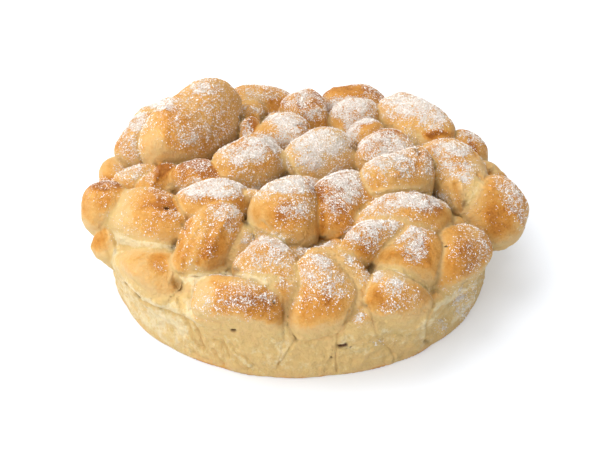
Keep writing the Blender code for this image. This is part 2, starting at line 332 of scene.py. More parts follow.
def crumb_distance(points):
    """Distance from the turned body that filled the tin, negative inside it."""
    reach = np.hypot(points[:, 0], points[:, 1])
    height = points[:, 2]
    proud, _ = seam_offset(points)
    share = np.clip((height - BOTTOM_EDGE) / (WALL_HEIGHT - BOTTOM_EDGE), 0, 1)
    radius = BASE_RADIUS + share * (WALL_RADIUS - BASE_RADIUS) + proud
    out = reach - (radius - BOTTOM_EDGE)
    down = BOTTOM_EDGE - height
    rounded = np.hypot(np.clip(out, 0, None), np.clip(down, 0, None))
    drum = rounded + np.minimum(np.maximum(out, down), 0) - BOTTOM_EDGE
    above = np.clip(height - WALL_HEIGHT, 0, None)
    measure = np.hypot(reach / radius, above / CRUMB_RISE) + 1e-9
    dome = np.hypot(reach, above) * (1 - 1 / measure)
    return np.where(height > WALL_HEIGHT, dome, drum)


def nearby(points, middle, half_sizes, margin):
    gap = points - middle
    return np.flatnonzero((gap * gap).sum(axis=1) < (half_sizes.max() + margin) ** 2)


def piece_distance(points, index):
    middle, half_sizes, axes = LAID[index]
    gap = points - middle
    measure = crust_measure(gap @ axes.T / half_sizes, index) + 1e-9
    return np.sqrt((gap * gap).sum(axis=1)) * (1 - 1 / measure)


def melted(one, other, width):
    """The nearer of two distances, with the hollow between them filled over a width."""
    share = np.clip(0.5 + 0.5 * (other - one) / width, 0, 1)
    return other + (one - other) * share - width * share * (1 - share)


def lump_distance(points, index):
    """Distance from a piece, and from the ones that flowed into it."""
    away = piece_distance(points, index)
    for second, first in PARTNER.items():
        if first == index:
            other = piece_distance(points, second)
            low = np.minimum(away, other)
            away = low - LUMP_FILLET * np.log1p(np.exp(-np.abs(away - other) / LUMP_FILLET)) * 0.6
    if NAMES[index] in PRESSED:
        out = OVERHANG * smooth_step(RIM_START, RIM_END, points[:, 2]) - 0.5
        past = np.hypot(points[:, 0], points[:, 1]) - WALL_RADIUS - out
        away = -melted(-away, -past, PRESSED_FILLET)
    return away


def skin_distance(points, fillet):
    """Distance from the loaf's skin, with the hollows between the pieces filled a little."""
    crumb = crumb_distance(points)
    total = np.exp(-np.clip(crumb, -30 * fillet, None) / fillet)
    away = {}
    low = 1 - 0.8 * smooth_step(38.0, 50.0, points[:, 2])
    for index, (middle, half_sizes, _) in enumerate(LAID):
        if index in PARTNER:
            continue
        near = nearby(points, middle, half_sizes, 30.0)
        away[index] = np.full(len(points), 60.0)
        away[index][near] = lump_distance(points[near], index)
        if NAMES[index] in FLOWING:
            away[index] = melted(away[index], crumb, FLOWING[NAMES[index]] * low)
        total += np.exp(-np.clip(away[index], -30 * fillet, None) / fillet)
    for one, other, width in WEBS:
        web = melted(away[NAMES.index(one)], away[NAMES.index(other)], width)
        total += np.exp(-np.clip(web, -30 * fillet, None) / fillet)
    return -fillet * np.log(total)


def ownership(points):
    """The nearest piece of each point, its distance, the next one's, and the crumb's."""
    first = np.full(len(points), 50.0)
    second = np.full(len(points), 60.0)
    owner = np.full(len(points), -1)
    for index, (middle, half_sizes, _) in enumerate(LAID):
        if index in PARTNER:
            continue
        near = nearby(points, middle, half_sizes, 25.0)
        away = lump_distance(points[near], index)
        wins = away < first[near]
        second[near] = np.where(wins, first[near], np.minimum(second[near], away))
        first[near] = np.where(wins, away, first[near])
        owner[near[wins]] = index
    return owner, first, second, crumb_distance(points)


def stretched(points):
    """Where each point was before the dough stretched out of its plain form."""
    x, y, z = points.T
    bend = [
        np.sin(y / 7.1 + 0.9 + np.sin(z / 9)),
        np.sin(z / 6.3 + x / 11 + 2),
        np.sin(x / 8.2 + y / 12),
    ]
    return points + STRETCH * np.stack(bend, axis=1) * np.clip((z - 20) / 20, 0, 1)[:, None]


def noise_at(points, size, octaves=1, seed=0.0):
    """Smooth random values from about -1 to 1, varying over size millimetres."""
    shift = Vector((seed * 17.3, seed * 9.1, seed * 5.7))
    values = np.zeros(len(points))
    for octave in range(octaves):
        step = 2.0**octave / size
        layer = [noise.noise(Vector(p) * step + shift) for p in points.tolist()]
        values += np.array(layer) / 2.0**octave
    return values


def vertex_array(mesh):
    flat = np.empty(len(mesh.vertices) * 3)
    mesh.vertices.foreach_get("co", flat)
    return flat.reshape(-1, 3)


def normal_array(mesh):
    flat = np.empty(len(mesh.vertices) * 3)
    mesh.vertex_normals.foreach_get("vector", flat)
    return flat.reshape(-1, 3)


def set_vertices(mesh, points):
    mesh.vertices.foreach_set("co", points.ravel())
    mesh.update()


def rough_loaf():
    """All the pieces and the crumb as one voxel mesh, in metres."""
    bm = bmesh.new()
    for index, (middle, half_sizes, axes) in enumerate(LAID):
        made = bmesh.ops.create_icosphere(bm, subdivisions=4, radius=1)["verts"]
        ball = np.array([vert.co for vert in made])
        placed = middle + (ball / crust_measure(ball, index)[:, None] * half_sizes) @ axes
        for vert, place in zip(made, placed * MM):
            vert.co = place
    profile = [(BASE_RADIUS - BOTTOM_EDGE, 0.0), (BASE_RADIUS, BOTTOM_EDGE)]
    profile += [(WALL_RADIUS, WALL_HEIGHT)]
    for angle in np.radians(range(10, 90, 10)):
        profile.append((WALL_RADIUS * math.cos(angle), WALL_HEIGHT + CRUMB_RISE * math.sin(angle)))
    rings = []
    turns = np.linspace(0, 2 * math.pi, CRUMB_SIDES, endpoint=False)
    for radius, height in profile:
        ring = []
        for turn in turns:
            x, y = radius * math.cos(turn) * MM, radius * math.sin(turn) * MM
            ring.append(bm.verts.new((x, y, height * MM)))
        rings.append(ring)
    for lower, upper in zip(rings, rings[1:]):
        for k in range(CRUMB_SIDES):
            after = (k + 1) % CRUMB_SIDES
            bm.faces.new((lower[k], lower[after], upper[after], upper[k]))
    bm.faces.new(reversed(rings[0]))
    bm.faces.new(rings[-1])
    mesh = bpy.data.meshes.new("rough_loaf")
    bm.to_mesh(mesh)
    bm.free()
    rough = bpy.data.objects.new("rough_loaf", mesh)
    bpy.context.scene.collection.objects.link(rough)
    cells = rough.modifiers.new("cells", "REMESH")
    cells.mode = "VOXEL"
    cells.voxel_size = SKIN_CELL
    graph = bpy.context.evaluated_depsgraph_get()
    skin = bpy.data.meshes.new_from_object(rough.evaluated_get(graph))
    bpy.data.objects.remove(rough)
    bm = bmesh.new()
    bm.from_mesh(skin)
    inner = (BASE_RADIUS - 2 * BOTTOM_EDGE) * MM
    under = [v for v in bm.verts if v.co.z < 1.0 * MM and math.hypot(v.co.x, v.co.y) < inner]
    bmesh.ops.delete(bm, geom=under, context="VERTS")
    bmesh.ops.holes_fill(bm, edges=[edge for edge in bm.edges if edge.is_boundary], sides=0)
    bm.to_mesh(skin)
    bm.free()
    return skin


def refine(mesh, chosen):
    """Splits the cells between the chosen points, so that a crease stays sharp."""
    bm = bmesh.new()
    bm.from_mesh(mesh)
    close = [edge for edge in bm.edges if all(chosen[vert.index] for vert in edge.verts)]
    bmesh.ops.subdivide_edges(bm, edges=close, cuts=1, use_grid_fill=True)
    bm.to_mesh(mesh)
    bm.free()


def neighbours(mesh):
    """For a mesh's points, a function that gives the mean of each one's neighbours."""
    edges = np.empty(len(mesh.edges) * 2, np.int64)
    mesh.edges.foreach_get("vertices", edges)
    start, end = edges.reshape(-1, 2).T
    count = len(mesh.vertices)
    degree = np.bincount(start, minlength=count) + np.bincount(end, minlength=count)

    def mean(points):
        total = [
            np.bincount(start, column[end], count) + np.bincount(end, column[start], count)
            for column in points.T
        ]
        return np.stack(total, axis=1) / degree[:, None]

    return mean


def without_spikes(mesh, points, limit):
    """Draws back any point that stands further than the limit from its neighbours' mean."""
    mean = neighbours(mesh)
    for _ in range(4):
        pull = mean(points) - points
        spiky = np.sqrt((pull * pull).sum(axis=1)) > limit
        points = points + 0.9 * pull * spiky[:, None]
    return points


def settle(mesh, steps):
    """Moves the voxel mesh onto the filleted skin, and evens its cells out."""
    points = vertex_array(mesh) / MM
    mean = neighbours(mesh)
    for step in range(steps):
        set_vertices(mesh, points * MM)
        normals = normal_array(mesh)
        if step < steps - 2:
            pull = mean(points) - points
            flat = pull - normals * (pull * normals).sum(axis=1)[:, None]
            points = points + 0.6 * flat
        wander = FILLET_CHANGE * np.sin(points[:, 0] / 17) * np.sin(points[:, 1] / 13 + 1)
        away = skin_distance(stretched(points), FILLET + wander)
        points = points - np.clip(away, -2.5, 2.5)[:, None] * normals
    set_vertices(mesh, points * MM)
    return points


# Marks of the hand and the oven on the side that the camera sees. Places are millimetres
# to the right of and above the middle of the loaf as it stands in that view.
# Folds of the skin: height (negative is a furrow), half width, how far the line browned
# (negative is pale, and along a furrow partly painted shade), then the line.
FOLDS = (
    # The lower edge of the egg at the front, and the seams that run down from it.
    (
        -1.2, 1.0, 0.15, (-10.5, -49.4), (-9.9, -61.3), (-6.6, -69.2), (-2.6, -75.8),
        (6.6, -77.1), (16.5, -74.5), (26.4, -71.8), (30.3, -63.9), (33, -56),
    ),
    (
        -0.8, 0.8, 0.05, (-10.5, -61.3), (-10.5, -75.8), (-11.9, -83.7), (-13.8, -90.3),
        (-15.2, -96.2),
    ),
    (-1.1, 0.7, 0.05, (-3.3, -76.4), (-6.6, -81.1), (-10.5, -87.6), (-13.8, -92.3)),
    (0.7, 2.2, -0.1, (-7.2, -78.4), (-11.2, -84.4), (-13.8, -89)),
    (-1.2, 0.7, 0.12, (25, -71.8), (23.7, -87.6), (24.4, -96.9)),
    (
        -0.8, 0.7, 0.1, (43.5, -53.4), (47.4, -60), (49.4, -66.6), (51.4, -74.5), (60, -82.4),
        (61.9, -86.3), (61.3, -89),
    ),
    (0.6, 1.5, -0.05, (58, -83.7), (60, -87), (59.3, -90.3)),
    (-0.8, 0.7, 0.12, (87.6, -42.8), (88.3, -50.7), (83.7, -63.9), (83, -76.4)),
    (0.6, 1.4, -0.1, (85.7, -50.7), (81.7, -63.9), (81.1, -74.5)),
    (-0.5, 0.9, 0, (33, -73.1), (34.3, -79.7), (39.5, -79.1), (52.7, -76.4)),
    (-0.7, 1, 0.15, (40.9, -42.8), (44.8, -49.4), (47.4, -58.7)),
    # The pale rim under the right cheek.
    (0.9, 1.3, -0.4, (87.6, -55.4), (95.6, -49.4), (105.4, -43.5), (117.3, -36.9)),
    (-0.8, 0.9, 0.1, (89.6, -58), (97.5, -52.7), (106.8, -47.4), (116, -42.2)),
    (-0.6, 0.8, 0.05, (87, -60), (92.3, -62.6), (100.2, -61.3)),
    (0.5, 1.2, -0.2, (100.2, -63.9), (106.8, -56), (114.7, -46.8)),
    # Where the skin of the wall pulled and tore on the left.
    (
        -1.5, 0.8, 0.14, (-115.3, -38.2), (-108.7, -44.8), (-104.1, -50.1), (-95.6, -54),
        (-87, -56.7), (-75.8, -61.3), (-69.2, -65.9), (-65.9, -73.1), (-63.3, -82.4),
    ),
    (
        1.2, 1.8, -0.1, (-113.3, -36.9), (-105.4, -45.5), (-97.5, -50.1), (-87, -52.7),
        (-75.8, -58), (-67.2, -63.3),
    ),
    (0.9, 1.6, -0.05, (-98.9, -56.7), (-89, -59.3), (-81.7, -63.9), (-75.1, -73.1)),
    (-1.4, 0.9, 0.08, (-80.4, -49.4), (-75.8, -61.3), (-71.2, -70.5), (-65.9, -81.1)),
    (0.9, 1.3, -0.05, (-77.8, -61.3), (-73.1, -70.5), (-68.5, -79.7)),
    (-1.7, 0.9, 0.14, (-56.7, -75.8), (-51.4, -77.1), (-48.1, -82.4), (-46.8, -87)),
    (1.2, 1.6, 0, (-56.7, -79.1), (-52.7, -81.7), (-50.7, -86.3)),
    (-1.5, 0.8, 0.14, (-57.3, -82.4), (-53.4, -89), (-50.7, -92.3)),
    (-1.2, 0.9, 0.1, (-46.8, -77.1), (-40.9, -83.7), (-34.9, -87.6), (-30.3, -92.9)),
    (1, 1.4, -0.08, (-44.8, -81.7), (-38.2, -87.6), (-33, -92.9)),
    (-0.9, 0.8, 0.12, (-69.9, -83.7), (-65.9, -87), (-58, -89.6)),
    (-0.8, 0.8, 0.08, (-42.2, -87.6), (-39.5, -92.9), (-34.3, -95.6)),
    # Pockets and folds under the front left roll.
    (-1.6, 2.6, 0.3, (-81.7, -36.9), (-79.1, -41.5)),
    (-1, 1.4, 0.2, (-73.8, -43.5), (-71.8, -49.4)),
    (-0.8, 0.8, 0.1, (-68.5, -38.9), (-71.2, -46.8), (-72.5, -56)),
    (0.9, 1.5, -0.45, (-81.7, -33.6), (-76.4, -36.2), (-68.5, -36.2), (-61.9, -34.3)),
    (-0.6, 0.8, 0.05, (-62.6, -36.9), (-56, -34.9), (-48.8, -33)),
    (0.5, 1, -0.2, (-87, -24.4), (-84.4, -31), (-85.7, -36.2)),
    # Webs of pale skin between the pieces.
    (1, 2.4, -0.45, (-119.9, -8.6), (-108.7, -11.2), (-97.5, -12.5), (-84.4, -14.5)),
    (-0.4, 0.6, 0, (-114.7, -13.8), (-105.4, -15.2), (-96.2, -14.5)),
    (-0.5, 0.7, 0.08, (-109.4, -23.7), (-102.1, -19.1), (-95.6, -17.1), (-89.6, -17.1)),
    (0.8, 2.2, -0.35, (-33, 2), (-25, -2), (-16.5, -5.9), (-9.9, -9.9)),
    (-0.5, 0.8, 0.1, (-25, 2), (-19.8, -3.3), (-13.2, -7.2)),
    (0.5, 1.6, -0.15, (-40.9, -32.3), (-29.7, -34.9), (-21.1, -40.2), (-15.8, -46.8)),
    (-0.5, 0.7, 0.05, (-36.2, -35.6), (-27.7, -37.6), (-21.1, -42.2)),
    (0.6, 2, -0.25, (92.3, 19.1), (97.5, 13.8), (102.8, 7.2)),
    (0.8, 1.6, -0.25, (47.4, 21.7), (60.6, 23.7), (79.1, 24.4)),
    (-0.6, 0.9, 0.15, (-10.5, 44.2), (-6.6, 37.6), (-2.6, 31)),
    (0.7, 1.4, -0.3, (-7.9, 46.1), (-4, 38.9), (0, 32.3)),
    (-0.5, 0.8, 0.05, (65.9, -33.6), (73.8, -35.6), (83, -40.9)),
    # Ridges and furrows along the front left roll, and along the spur on the left.
    (1.2, 2.6, 0, (-60.6, 11.2), (-68.5, -2), (-73.8, -16.5), (-79.1, -29.7)),
    (-1.2, 1.6, 0.12, (-67.2, -4.6), (-73.1, -16.5), (-76.4, -27)),
    (-1.1, 2.2, 0.1, (-56.7, 2), (-63.3, -11.2), (-67.2, -24.4)),
    (1.3, 2.2, 0, (-48.8, 4.6), (-56, -8.6), (-60.6, -21.7)),
    (-0.8, 1, 0.1, (-131.8, -2), (-129.2, -9.9), (-125.2, -21.7)),
    (0.8, 1.2, -0.2, (-126.5, -3.3), (-122.6, -15.2), (-119.9, -27)),
    # Folds on the left wedge, the cheek and the tent.
    (-0.8, 1, 0.3, (-92.3, 17.1), (-87, 14.5), (-81.7, 9.9)),
    (0.6, 1.2, 0.1, (-93.6, 14.5), (-88.3, 12.5), (-84.4, 7.9)),
    (-0.5, 0.9, 0.15, (-92.3, 11.2), (-85.7, 7.2), (-77.8, 2)),
    (0.9, 1.4, 0.1, (-97.5, 25.7), (-93.6, 33.6), (-91.6, 40.9)),
    (-0.6, 1, 0.1, (-82.4, 21.7), (-84.4, 16.5), (-80.4, 8.6)),
    # Creases on the right hand pieces.
    (1, 1.4, 0.1, (55.4, -24.4), (59.3, -19.8), (65.9, -17.8), (72.5, -20.4)),
    (1.5, 2.4, 0.1, (126.5, 23.1), (135.1, 14.5), (142.3, 5.9), (145.6, -0.7)),
    (1.2, 1.3, -0.15, (106.1, 29.7), (107.4, 21.7), (109.4, 14.5)),
    (-1.3, 1.3, 0.3, (102.1, 27), (104.1, 17.8), (106.1, 9.2)),
    (0.8, 1.4, 0, (98.2, 27), (100.2, 19.1), (102.8, 11.2)),
    (-1.1, 1.2, 0.3, (112, 57.3), (113.3, 52.1), (116.6, 46.1)),
    (-1, 1.3, 0.4, (117.3, 33.6), (121.3, 30.3), (125.2, 33.6)),
    (1.1, 1.6, 0.2, (84.4, 59.3), (90.9, 61.9), (98.2, 60)),
    (-0.8, 1, 0.2, (129.8, 38.9), (133.1, 34.9), (137.1, 31)),
    (-0.6, 1, 0.1, (43.5, 36.2), (46.1, 29.7), (48.1, 23.1)),
    (0.5, 1, -0.1, (45.5, 37.6), (48.8, 31), (50.7, 24.4)),
    # Small folds at the back.
    (-1.2, 1.8, 0.3, (-0.7, 81.7), (0.7, 77.8)),
    (-0.8, 1, 0.3, (-2.6, 65.2), (1.3, 66.6), (5.3, 63.9)),
    (-0.8, 0.9, 0.2, (17.1, 70.5), (17.8, 65.2)),
    (-0.8, 1, 0.2, (-33.6, 67.9), (-31.6, 62.6)),
    (1, 1.4, 0.2, (4, 31), (7.9, 25.7), (11.9, 19.1)),
    (0.9, 1.3, 0.4, (17.1, -9.9), (23.7, -9.2), (28.3, -5.3)),
    (1.1, 3, 0, (-89, 75.8), (-87, 67.9), (-89.6, 58.7)),
)
# Holes where the skin tore, darkened inside with painted shadow: half width, depth, then the line.
TEARS = (
    (1.15, 2.6, (25.7, -81.1), (28.3, -80.1), (30.3, -79.1)),
    (0.95, 2, (-44.8, -69.9), (-43.2, -69.9)),
    (1.0, 2, (-108.1, -44.8), (-106.1, -47.4)),
    (0.6, 1.3, (-115, -38.2), (-113.7, -39.5)),
    (0.65, 1.4, (-17.1, -50.1), (-16.5, -51.4)),
    (0.65, 1.4, (95.6, -13.8), (96.9, -13.8)),
    (1.05, 2.4, (-89, 11.5), (-87, 10.9)),
    (0.5, 1, (33, -80.1), (33.6, -80.1)),
    (0.5, 1, (-101.5, -54), (-100.8, -54)),
    (0.5, 0.8, (20.4, -87), (21.1, -87.6)),
)

# Deep pockets between the pieces, darkened with painted shade: half width, depth, how dark the
# painted shade is, then the line.
POCKETS = (
    (1.8, 1.6, 0.8, (34.9, 51.4), (36.9, 50.1)),
    (1.7, 1.6, 0.8, (77.1, 50.7), (79.1, 48.1)),
    (1.7, 1.4, 0.7, (-24.4, 70.5), (-21.7, 71.2)),
    (1.4, 1.2, 0.6, (-38.9, 70.5), (-38.2, 71.8)),
    (1.8, 1.5, 0.8, (-36.9, 2.6), (-34.9, 0.7)),
    (2.4, 1.5, 0.5, (-45.5, -29.7), (-42.2, -30.3)),
    (1.5, 1.2, 0.6, (-76.4, -2), (-77.8, 0.7)),
    (1.7, 1.4, 0.7, (-83.7, -15.2), (-81.1, -10.5)),
    (1.6, 1.8, 0.7, (107.4, 12.5), (108.7, 15.2)),
    (1.5, 1.2, 0.6, (46.8, -27.7), (48.1, -27)),
    (1.3, 1.2, 0.5, (41.5, -52.7), (43.5, -53.4)),
    (1.2, 1, 0.4, (-3.3, -75.8), (-2.6, -76.4)),
    (1.4, 1.2, 0.5, (82.7, -77.1), (84.4, -77.1)),
    (2.6, 1.2, 0.45, (-80.4, -38.2), (-79.1, -42.2)),
    (1.6, 0.8, 0.5, (12.5, -8.6), (17.1, -9.9)),
)


def in_view(points):
    """Millimetres right of and above the loaf's middle, as the camera sees each point."""
    gap = points - np.array(camera.location) / MM
    ahead, above = -np.array(back), np.array((0.0, math.sin(VIEW_DOWN), math.cos(VIEW_DOWN)))
    scale = VIEW_DISTANCE / MM / (gap @ ahead)
    return gap[:, 0] * scale, (gap @ above) * scale


def line_distance(across, up, line):
    """Distance in the view from a bent line."""
    away = np.full(len(across), 1e9)
    for (x0, y0), (x1, y1) in zip(line, line[1:]):
        run = (x1 - x0) ** 2 + (y1 - y0) ** 2 + 1e-9
        share = np.clip(((across - x0) * (x1 - x0) + (up - y0) * (y1 - y0)) / run, 0, 1)
        gap = np.hypot(across - x0 - share * (x1 - x0), up - y0 - share * (y1 - y0))
        away = np.minimum(away, gap)
    return away


def spread(across, up, spots, core=0.35, edge=1.5):
    """The strongest of several soft round spots: middle, half sizes and strength of each."""
    most = np.zeros(len(across))
    for x, y, half_across, half_up, strength in spots:
        out = ((across - x) / half_across) ** 2 + ((up - y) / half_up) ** 2
        spot = strength * (1 - smooth_step(core, edge, out))
        most = np.where(np.abs(spot) > np.abs(most), spot, most)
    return most


# The skin's own unevenness, and the crease between two pieces: sizes and heights in mm.
SWELL_SIZE = 19.0
SWELL_HEIGHT = 0.60
DIMPLE_SIZE = 4.5
DIMPLE_HEIGHT = 0.30
GATHERED_RIDGE_HEIGHT = 0.55
CREASE_DEPTH = 1.2
CREASE_WIDTH = 1.6
PAPER_CREASE_SIZE = 6.0
PAPER_CREASE_HEIGHT = 1.3
# Cells nearer than this to a mark or a crease are split.
SPLIT_BY_MARK = 3.2
SPLIT_BY_CREASE = 1.3
# No point of the skin stands further than this from its neighbours' mean.
LONGEST_SPIKE = 1.1

skin = rough_loaf()
points = settle(skin, SETTLING_STEPS)
owner, first, second, crumb = ownership(stretched(points))
across, up = in_view(points)
ahead = (normal_array(skin) * (np.array(camera.location) / MM - points)).sum(axis=1) > 0
marked = np.full(len(points), 99.0)
for row in FOLDS + TEARS + POCKETS:
    line = [point for point in row if isinstance(point, tuple)]
    marked = np.minimum(marked, line_distance(across, up, line))
creased = np.minimum(second - first, np.abs(crumb - first)) < SPLIT_BY_CREASE
creased &= points[:, 2] > WALL_HEIGHT - 1
refine(skin, ahead & (creased | (marked < SPLIT_BY_MARK)))
points = without_spikes(skin, settle(skin, 3), 0.9)
set_vertices(skin, points * MM)
owner, first, second, crumb = ownership(stretched(points))
normals = normal_array(skin)
to_camera = np.array(camera.location) / MM - points
to_camera /= np.sqrt((to_camera * to_camera).sum(axis=1))[:, None]
seen = smooth_step(0.02, 0.2, (normals * to_camera).sum(axis=1))
across, up = in_view(points)
height = points[:, 2]

# How far each point lies from a crease, whether the tin's body stands proud of the pieces
# there, and whether a web of skin bridges it.
flows = np.array([name in FLOWING for name in NAMES])[owner]
beside_crumb = np.where(flows, 30.0, np.abs(crumb - first))
crease = np.clip(np.minimum(second - first, beside_crumb), 0, 40)
below = smooth_step(-3.0, 3.0, first - crumb)
webbed = smooth_step(0.25, 1.1, np.minimum(first, crumb))

# Soft swells, dimples and long gathered ridges, and the sharp crease between the lumps.
above_floor = smooth_step(0.5, 5.0, height)
swell = SWELL_HEIGHT * noise_at(points, SWELL_SIZE, 2, 1.0)
dimples = DIMPLE_HEIGHT * noise_at(points, DIMPLE_SIZE, 2, 2.0)
gathered = np.clip(0.8 - np.abs(noise_at(points, SWELL_SIZE, 1, 6.0)) * 4.0, 0, 1)
sunk = CREASE_DEPTH * np.exp(-crease / CREASE_WIDTH) * smooth_step(30.0, 50.0, height)
lift = (swell + dimples + GATHERED_RIDGE_HEIGHT * gathered) * above_floor - sunk * (1 - webbed)
# The wall took the creases of the paper that lined the tin.
lined = noise_at(points, PAPER_CREASE_SIZE, 2, 11.0) * (1 - smooth_step(28.0, 42.0, height))
lift += PAPER_CREASE_HEIGHT * lined * above_floor

# Along the furrows the tan drawn here is partly painted shade in the fold.
line_tan_and_shade = np.zeros(len(points))
for rise, half_width, browned_with_painted_light, *line in FOLDS:
    near = line_distance(across, up, line) / half_width
    lift += seen * rise * np.exp(-(near**2))
    line_tan_and_shade += seen * browned_with_painted_light * np.exp(-((near / 1.3) ** 2))
# A hole or pocket that lies in a crease is hardly sunk further, as the crease is deep.
# The dark kept here for each tear and pocket is painted shade, not a colour of the crust.
painted_hole_shade = np.zeros(len(points))
for half_width, depth, *line in TEARS:
    hole = seen * np.exp(-((line_distance(across, up, line) / half_width) ** 4))
    painted_hole_shade = np.maximum(painted_hole_shade, hole)
    lift -= depth * hole * (0.15 + 0.85 * smooth_step(1.0, 4.0, crease))
for half_width, depth, dark, *line in POCKETS:
    pocket = seen * np.exp(-((line_distance(across, up, line) / half_width) ** 2))
    painted_hole_shade = np.maximum(painted_hole_shade, 0.75 * dark * pocket)
    lift -= depth * pocket * (0.2 + 0.8 * smooth_step(1.0, 4.0, crease))
points = without_spikes(skin, points + normals * lift[:, None], LONGEST_SPIKE)
points[:, 2] = np.clip(points[:, 2], 0, None)
set_vertices(skin, points * MM)
normals = normal_array(skin)

# Where the crust on this side took more colour than its neighbours, or less, and one painted
# highlight on the wall: the middle and half sizes of each spot in the view, and by how much.
TAN_AND_HIGHLIGHT_SPOTS = (
    # left_cheek
    (-92.3, -24.4, 6.6, 6.6, 0.60),
    (-110.7, -33.0, 13.2, 14.5, -0.10),
    (-118.6, -49.4, 9.2, 13.2, -0.20),
    # left_wedge
    (-88.3, -0.7, 14.5, 10.5, 0.36),
    (-88.3, 12.5, 10.5, 5.3, 0.30),
    (-98.9, 8.6, 15.8, 11.9, 0.12),
    (-119.9, 2.0, 9.2, 14.5, -0.20),
    # left_knob
    (-127.8, 26.4, 10.5, 4.6, 0.35),
    (-128.5, 16.5, 4.0, 9.2, 0.15),
    # left_tent
    (-90.3, 34.9, 5.3, 10.5, 0.40),
    # left_ridge
    (-61.3, 36.2, 7.9, 7.2, 0.45),
    # left_pillow
    (-49.4, 15.2, 17.1, 4.0, 0.25),
    # great_piece
    (-72.5, 63.9, 19.8, 17.1, 0.15),
    (-98.9, 54.0, 9.2, 10.5, -0.22),
    (-51.4, 56.0, 10.5, 7.9, 0.10),
    (-80.4, 70.5, 6.6, 5.3, 0.15),
    # front_left_roll
    (-56.0, -11.2, 5.3, 9.9, 0.28),
    (-61.9, -24.4, 6.6, 5.3, 0.28),
    (-78.4, -20.4, 2.6, 10.5, 0.18),
    (-68.5, 0.7, 5.3, 13.2, -0.12),
    (-48.8, 8.6, 5.3, 5.3, -0.05),
    # front_left_bun
    (-37.6, -53.4, 22.4, 7.9, 0.20),
    (-15.8, -58.7, 5.9, 6.6, 0.15),
    (-66.6, -44.2, 8.6, 13.2, -0.80),
    (-36.2, -35.6, 23.7, 4.0, -0.50),
    # front_shoulder
    (-21.1, -24.4, 14.5, 10.5, 0.15),
    (-18.0, -31.0, 8.0, 6.0, 0.25),
    # front_tail
    (-11.9, -42.0, 4.0, 10.0, 0.30),
    # middle_front
    (-1.3, 11.2, 11.9, 13.2, 0.20),
    (-25.0, 11.2, 7.9, 10.5, -0.15),
    # middle_right
    (13.2, 6.6, 3.3, 17.1, 0.50),
    (26.4, 13.2, 7.9, 13.2, 0.12),
    (7.9, 27.0, 2.6, 6.6, 0.40),
    # front_egg
    (-2.0, -44.2, 3.3, 15.8, -0.20),
    (11.9, -70.5, 10.5, 3.3, -0.10),
    (21.1, -50.7, 9.2, 11.9, 0.20),
    (9.9, -56.0, 11.9, 7.9, 0.08),
    # front_right_block
    (67.2, -48.8, 17.1, 9.2, 0.55),
    (48.8, -44.2, 3.3, 10.5, 0.10),
    (83.0, -44.2, 5.3, 7.9, -0.20),
    # front_right_egg
    (79.7, -20.4, 8.6, 7.9, 0.25),
    (65.9, -19.1, 7.9, 2.6, 0.30),
    (59.3, -9.9, 5.3, 9.2, -0.10),
    (69.2, -31.0, 14.5, 4.0, -0.30),
    # front_right_finger
    (46.1, -17.8, 7.9, 5.3, 0.30),
    # right_bolster
    (87.0, 9.9, 7.2, 5.3, 0.30),
    # right_cheek
    (112.0, -24.4, 13.2, 14.5, 0.20),
    (100.2, -31.0, 5.3, 7.9, 0.25),
    # right_egg
    (139.7, 2.0, 14.5, 15.8, 0.12),
    (116.0, 12.5, 5.3, 17.1, -0.30),
    # right_back_roll
    (90.9, 58.7, 9.2, 3.3, 0.50),
    (59.3, 70.5, 9.2, 6.6, -0.12),
    (73.8, 56.0, 9.2, 5.3, -0.30),
    # right_back_egg
    (114.0, 52.1, 3.3, 6.6, 0.30),
    # right_saddle
    (106.8, 41.5, 5.3, 5.3, 0.30),
    (97.5, 26.4, 5.3, 7.9, -0.10),
    # right_loaf
    (71.2, 34.9, 9.2, 7.9, 0.35),
    (63.3, 29.7, 17.1, 4.0, 0.15),
    (44.8, 34.9, 4.0, 9.2, -0.15),
    # back_loaf
    (34.3, 89.0, 17.1, 5.3, 0.05),
    # back_bun
    (-14.5, 79.7, 5.9, 4.0, 0.30),
    (-29.0, 83.7, 9.2, 6.6, -0.25),
    # back_ball
    (0.0, 79.7, 2.0, 2.6, 0.50),
    (11.9, 79.1, 4.0, 9.2, 0.20),
    # back_left_bun
    (2.0, 62.6, 3.3, 3.3, 0.35),
    # back_left_chip
    (-31.0, 66.6, 3.3, 5.3, 0.40),
    # left_spur
    (-135.1, -13.2, 5.3, 5.9, 0.45),
    (-127.8, -4.6, 3.3, 5.3, 0.15),
    # the wall's mottles
    (-33.0, -75.8, 6.6, 4.0, 0.12),
    (0.0, -83.7, 5.3, 5.3, 0.08),
    (19.8, -83.7, 6.6, 6.6, 0.10),
    (65.9, -82.4, 10.5, 4.0, 0.14),
    (34.3, -89.0, 10.5, 4.0, 0.10),
    (-54.0, -71.2, 4.0, 2.6, 0.20),
    (-40.9, -73.1, 5.3, 2.6, 0.10),
    (-62.6, -75.8, 5.3, 7.9, 0.08),
    (-25.0, -90.3, 4.0, 4.0, 0.10),
    (-98.9, -57.3, 9.2, 4.0, -0.12),
    (-49.4, -94.2, 11.9, 2.6, 0.20),
    # A broad paler spot over the wall's left end: painted highlight, where the light falls
    # strongest.
    (-98.9, -65.9, 23.7, 15.8, -0.15),
    # middle_back
    (-5.3, 42.8, 4.6, 10.5, -0.10),
    (26.4, 40.2, 7.9, 6.6, 0.30),
)
